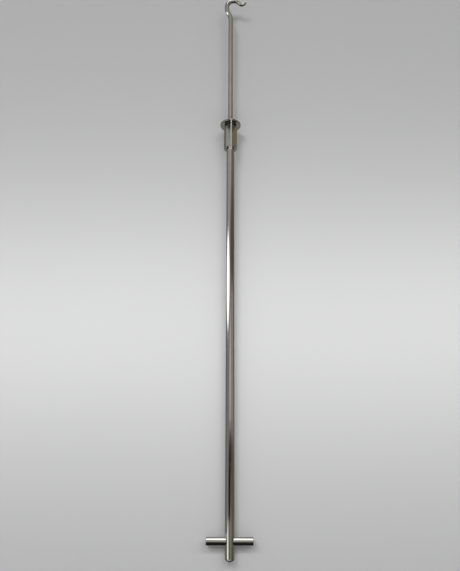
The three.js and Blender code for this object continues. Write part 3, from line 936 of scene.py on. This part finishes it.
class OBJECT_OT_stage(bpy.types.Operator):
    """Set up the pale wall and floor, the studio light and the camera"""
    bl_idname = "object.drop_rod_stage"
    bl_label = "Stage"
    bl_options = {"REGISTER", "UNDO"}

    def execute(self, context):
        self.build_backdrop(tuple(context.scene.rod_finishes.wall))
        self.build_world(context.scene)
        self.build_lights()
        self.build_camera(context.scene)
        context.scene.view_settings.view_transform = "Standard"
        return {"FINISHED"}

    def build_backdrop(self, paint):
        """A wall behind the rod, leaning in towards its foot, that curves into a floor."""
        top, curve, drop = 0.9, 0.25, 0.8
        width, floor_reach = 6, 4
        floor_z = FOOT_Z - drop
        lean = (WALL_AT_FLANGE - WALL_AT_FOOT) / (FLANGE_Z - FOOT_Z)
        height = top - floor_z - curve
        top_y = WALL_AT_FLANGE + lean * (top - FLANGE_Z)
        low_y = top_y - lean * height
        deselect()
        bpy.ops.mesh.primitive_plane_add(size=1, location=(AXIS_X, top_y, top))
        backdrop = bpy.context.object
        backdrop.name = "backdrop"
        backdrop.scale = (width, 0.1 * MM, 1)
        set_place(backdrop)
        bpy.ops.object.mode_set(mode="EDIT")
        bpy.ops.mesh.select_all(action="SELECT")
        bpy.ops.mesh.delete(type="ONLY_FACE")
        select_vertices(backdrop, lambda v: v.co.y < top_y)
        bpy.ops.mesh.delete(type="VERT")
        bpy.ops.mesh.select_all(action="SELECT")
        bpy.ops.mesh.extrude_region_move(
            TRANSFORM_OT_translate={"value": (0, -lean * height, -height)})
        bpy.ops.mesh.spin(steps=24, angle=math.pi / 2, axis=(1, 0, 0),
                          center=(0, low_y - curve, floor_z + curve))
        bpy.ops.mesh.extrude_region_move(TRANSFORM_OT_translate={"value": (0, -floor_reach, 0)})
        bpy.ops.object.mode_set(mode="OBJECT")
        bpy.ops.object.shade_smooth()
        backdrop.data.materials.append(self.wall_material(paint))
        # The wall is hidden from mirrors; in its place the chrome mirrors painted shade from the
        # rear studio cards.
        backdrop.visible_glossy = False

    def wall_material(self, paint):
        """Matt stippled paint, seen from the room's side only."""
        made, tree, shader, coords = start_material("wall_paint")
        stipple = node(tree, "ShaderNodeTexNoise", {"Scale": 420.0, "Detail": 4.0})
        tree.links.new(coords, stipple.inputs["Vector"])
        clouds = node(tree, "ShaderNodeTexNoise", {"Scale": 1.6, "Detail": 2.0})
        tree.links.new(coords, clouds.inputs["Vector"])
        cloudy = mix_colour(tree, clouds.outputs["Fac"], scaled(paint, 0.98), scaled(paint, 1.02))
        tree.links.new(cloudy, shader.inputs["Base Color"])
        shader.inputs["Roughness"].default_value = 0.9
        bump(tree, shader, stipple.outputs["Fac"], 0.15, 0.3 * MM)
        see_through = tree.nodes.new("ShaderNodeBsdfTransparent")
        side = tree.nodes.new("ShaderNodeNewGeometry")
        mixed = tree.nodes.new("ShaderNodeMixShader")
        output = tree.nodes["Material Output"]
        tree.links.new(side.outputs["Backfacing"], mixed.inputs["Fac"])
        tree.links.new(shader.outputs["BSDF"], mixed.inputs[1])
        tree.links.new(see_through.outputs["BSDF"], mixed.inputs[2])
        tree.links.new(mixed.outputs["Shader"], output.inputs["Surface"])
        return made

    def build_world(self, scene):
        """Plain pale surroundings, with soft cards that only the polished metal shows."""
        world = bpy.data.worlds.new("studio")
        scene.world = world
        world.use_nodes = True
        tree = world.node_tree
        tree.nodes.clear()
        coords = tree.nodes.new("ShaderNodeTexCoord")
        parts = tree.nodes.new("ShaderNodeSeparateXYZ")
        tree.links.new(coords.outputs["Generated"], parts.inputs[0])
        flip = node(tree, "ShaderNodeMath", {1: -1.0}, operation="MULTIPLY")
        tree.links.new(parts.outputs["Y"], flip.inputs[0])
        around = node(tree, "ShaderNodeMath", operation="ARCTAN2")
        tree.links.new(parts.outputs["X"], around.inputs[0])
        tree.links.new(flip.outputs[0], around.inputs[1])
        azimuth = node(tree, "ShaderNodeMath", operation="DEGREES")
        tree.links.new(around.outputs[0], azimuth.inputs[0])
        upward = node(tree, "ShaderNodeMath", operation="ARCSINE")
        tree.links.new(parts.outputs["Z"], upward.inputs[0])
        elevation = node(tree, "ShaderNodeMath", operation="DEGREES")
        tree.links.new(upward.outputs[0], elevation.inputs[0])
        shade = mix_colour(tree, ranged(tree, azimuth.outputs[0], 0.0, 1.0, -40.0, 30.0),
                           ROOM_LEFT, ROOM_RIGHT)
        for card in STUDIO_CARDS:
            placed = place_group(
                tree, group_of("soft_card"), At_Azimuth=card.azimuth,
                At_Elevation=card.elevation, Half_Width=card.half_width,
                Half_Height=card.half_height, Softness=card.softness)
            tree.links.new(azimuth.outputs[0], placed.inputs["Azimuth"])
            tree.links.new(elevation.outputs[0], placed.inputs["Elevation"])
            shade = mix_colour(tree, placed.outputs["Mask"], shade, card.shade)
        rays = tree.nodes.new("ShaderNodeLightPath")
        soft = node(tree, "ShaderNodeBackground",
                    {"Color": (0.73, 0.725, 0.72, 1), "Strength": LIGHT_STRENGTH})
        pale = node(tree, "ShaderNodeBackground",
                    {"Color": (0.73, 0.73, 0.73, 1), "Strength": SEEN_STRENGTH})
        plain = tree.nodes.new("ShaderNodeMixShader")
        tree.links.new(rays.outputs["Is Camera Ray"], plain.inputs["Fac"])
        tree.links.new(soft.outputs["Background"], plain.inputs[1])
        tree.links.new(pale.outputs["Background"], plain.inputs[2])
        cards = node(tree, "ShaderNodeBackground", {"Strength": MIRRORED_STRENGTH})
        tree.links.new(shade, cards.inputs["Color"])
        mixed = tree.nodes.new("ShaderNodeMixShader")
        tree.links.new(rays.outputs["Is Glossy Ray"], mixed.inputs["Fac"])
        tree.links.new(plain.outputs["Shader"], mixed.inputs[1])
        tree.links.new(cards.outputs["Background"], mixed.inputs[2])
        output = tree.nodes.new("ShaderNodeOutputWorld")
        tree.links.new(mixed.outputs["Shader"], output.inputs["Surface"])

    def build_lights(self):
        """Two soft lamps from above, and a long low strip that brightens the wall's middle."""
        foot = Vector((AXIS_X, 0, FOOT_Z))
        middle = Vector((AXIS_X, 0, -0.75))
        away = 5
        self.area_light("key", foot, Vector((-0.40, -1, 0.82)) * away, (2.2, 2.2), energy=93.0)
        self.area_light("side", foot, Vector((0.45, -1, 0.75)) * away, (3.0, 3.0), energy=55.0)
        self.area_light("strip", middle, Vector((0, -0.36, 0)), (3.2, 0.06), energy=3.75)

    def area_light(self, name, target, offset, size, energy):
        """A lamp set off from its target, facing it, that no mirror and no camera sees."""
        bpy.ops.object.light_add(type="AREA", location=target + offset)
        light = bpy.context.object
        light.name = name
        light.data.shape = "RECTANGLE"
        light.data.size, light.data.size_y = size
        light.data.energy = energy
        light.rotation_euler = (-offset).to_track_quat("-Z", "Y").to_euler()
        light.visible_glossy = False
        light.visible_camera = False

    def build_camera(self, scene):
        data = bpy.data.cameras.new("camera")
        camera = bpy.data.objects.new("camera", data)
        scene.collection.objects.link(camera)
        data.sensor_width = 36
        data.lens = FOCAL_LENGTH
        data.clip_start = 0.01
        camera.location = (AXIS_X + EYE_SIDE, -EYE_DISTANCE, FOOT_Z + EYE_ABOVE_FOOT)
        level = Matrix.Rotation(math.pi / 2 + EYE_PITCH, 4, "X")
        camera.rotation_euler = (level @ Matrix.Rotation(EYE_ROLL, 4, "Z")).to_euler()
        scene.camera = camera


# What the polished metal mirrors, each patch named for what it stands for in the room around it or
# for the painted shade it gives:
# azimuth from the front towards +X, elevation and half sizes in degrees, and softness as a share of
# the half size. A later patch covers earlier ones.
Card = namedtuple("Card", "azimuth elevation half_width half_height softness shade")
STUDIO_CARDS = [
    # Painted shade behind the rod, seen only in mirrors: a dark patch that the rims mirror in place
    # of the wall's shadowed strip close behind the rod, and a lighter grey patch low behind it that
    # the flange's underside mirrors.
    Card(180, 0, 86, 300, 0.12, (0.10, 0.10, 0.09)),
    Card(180, -34, 32, 14, 0.3, (0.14, 0.137, 0.130)),
    # Warm shelves on the right, darker towards the floor.
    Card(60, 36, 50, 12, 0.25, (0.170, 0.145, 0.100)),
    Card(60, 28, 52, 6, 0.4, (0.115, 0.098, 0.070)),
    Card(55, 21, 52, 6.5, 0.3, (0.075, 0.060, 0.045)),
    # Pale wall on the left.
    Card(-44, 31, 42, 16, 0.25, (0.235, 0.240, 0.215)),
    # Dark band, seen only in mirrors, that paints shade onto the collar's top just under the flange.
    Card(12, 34.8, 100, 0.7, 0.4, (0.020, 0.020, 0.019)),
    # Bright upright strip in front, and the pale patch below it.
    Card(11, 38, 10, 12, 0.4, (0.44, 0.42, 0.36)),
    Card(4, 4, 22, 7, 0.5, (0.34, 0.34, 0.31)),
    # Dark furniture below eye level.
    Card(70, -9, 44, 5.5, 0.4, (0.080, 0.075, 0.052)),
    Card(12, -5.5, 42, 2.6, 0.5, (0.045, 0.043, 0.038)),
    Card(-7, -9.5, 28, 4.6, 0.4, (0.016, 0.012, 0.008)),
    # Skirting that the foot mirrors, with one bright and two dark stripes.
    Card(0, -18, 120, 5.1, 0.06, (0.150, 0.145, 0.120)),
    Card(-47, -18, 15, 5.3, 0.15, (0.85, 0.85, 0.80)),
    Card(-9, -18, 9, 5.0, 0.3, (0.090, 0.085, 0.070)),
    Card(72, -18, 30, 5.0, 0.3, (0.068, 0.064, 0.052)),
    # Window on the left.
    Card(-66, 15.6, 46, 6.2, 0.18, (1.15, 1.15, 1.15)),
    # Black floor.
    Card(0, -55, 150, 32, 0.06, (0.010, 0.010, 0.010)),
    Card(0, -75, 900, 28, 0.06, (0.010, 0.010, 0.010)),
    # Bright patches on the floor that the collar's end mirrors, with a dark gap between them.
    Card(-32, -30.5, 24, 3.2, 0.1, (0.75, 0.76, 0.74)),
    Card(34, -30.5, 22, 3.2, 0.1, (0.62, 0.60, 0.52)),
    Card(0, -24, 7, 8.5, 0.12, (0.010, 0.010, 0.010)),
    Card(12, -34, 6, 8, 0.3, (1.05, 1.05, 1.02)),
    # Ceiling: lamp in front, dim behind, pale overhead.
    Card(0, 76, 16, 25, 0.08, (2.0, 2.0, 2.0)),
    Card(180, 70, 16, 24, 0.08, (0.26, 0.25, 0.24)),
    Card(0, 90, 900, 11, 0.2, (0.66, 0.64, 0.62)),
]


# ---- Panel and main ----

PIECE_OPERATORS = (OBJECT_OT_hook_rod, OBJECT_OT_tube, OBJECT_OT_foot, OBJECT_OT_t_bar,
                   OBJECT_OT_collar, OBJECT_OT_gland, OBJECT_OT_rod_end)


class VIEW3D_PT_drop_rod(bpy.types.Panel):
    """Panel that lists the drop rod's pieces, sizes and finishes"""
    bl_label = "Drop rod"
    bl_idname = "VIEW3D_PT_drop_rod"
    bl_space_type = "VIEW_3D"
    bl_region_type = "UI"
    bl_category = "Drop rod"

    def draw(self, context):
        for group in (context.scene.rod_sizes, context.scene.rod_finishes):
            column = self.layout.column(align=True)
            for name in group.bl_rna.properties.keys():
                if name not in ("rna_type", "name"):
                    column.prop(group, name)
        column = self.layout.column(align=True)
        for operator in (*PIECE_OPERATORS, OBJECT_OT_stage):
            column.operator(operator.bl_idname)


CLASSES = (RodSizes, RodFinishes, *PIECE_OPERATORS, OBJECT_OT_stage, VIEW3D_PT_drop_rod)


def register():
    for made in CLASSES:
        bpy.utils.register_class(made)
    bpy.types.Scene.rod_sizes = bpy.props.PointerProperty(type=RodSizes)
    bpy.types.Scene.rod_finishes = bpy.props.PointerProperty(type=RodFinishes)


def unregister():
    del bpy.types.Scene.rod_finishes
    del bpy.types.Scene.rod_sizes
    for made in reversed(CLASSES):
        bpy.utils.unregister_class(made)


def main():
    register()
    MATERIALS.update(build_materials(bpy.context.scene.rod_finishes))
    bpy.ops.object.drop_rod_hook()
    bpy.ops.object.drop_rod_tube()
    bpy.ops.object.drop_rod_foot()
    bpy.ops.object.drop_rod_t_bar()
    bpy.ops.object.drop_rod_collar()
    bpy.ops.object.drop_rod_gland()
    bpy.ops.object.drop_rod_rod_end()
    bpy.ops.object.drop_rod_stage()


if __name__ == "__main__":
    main()
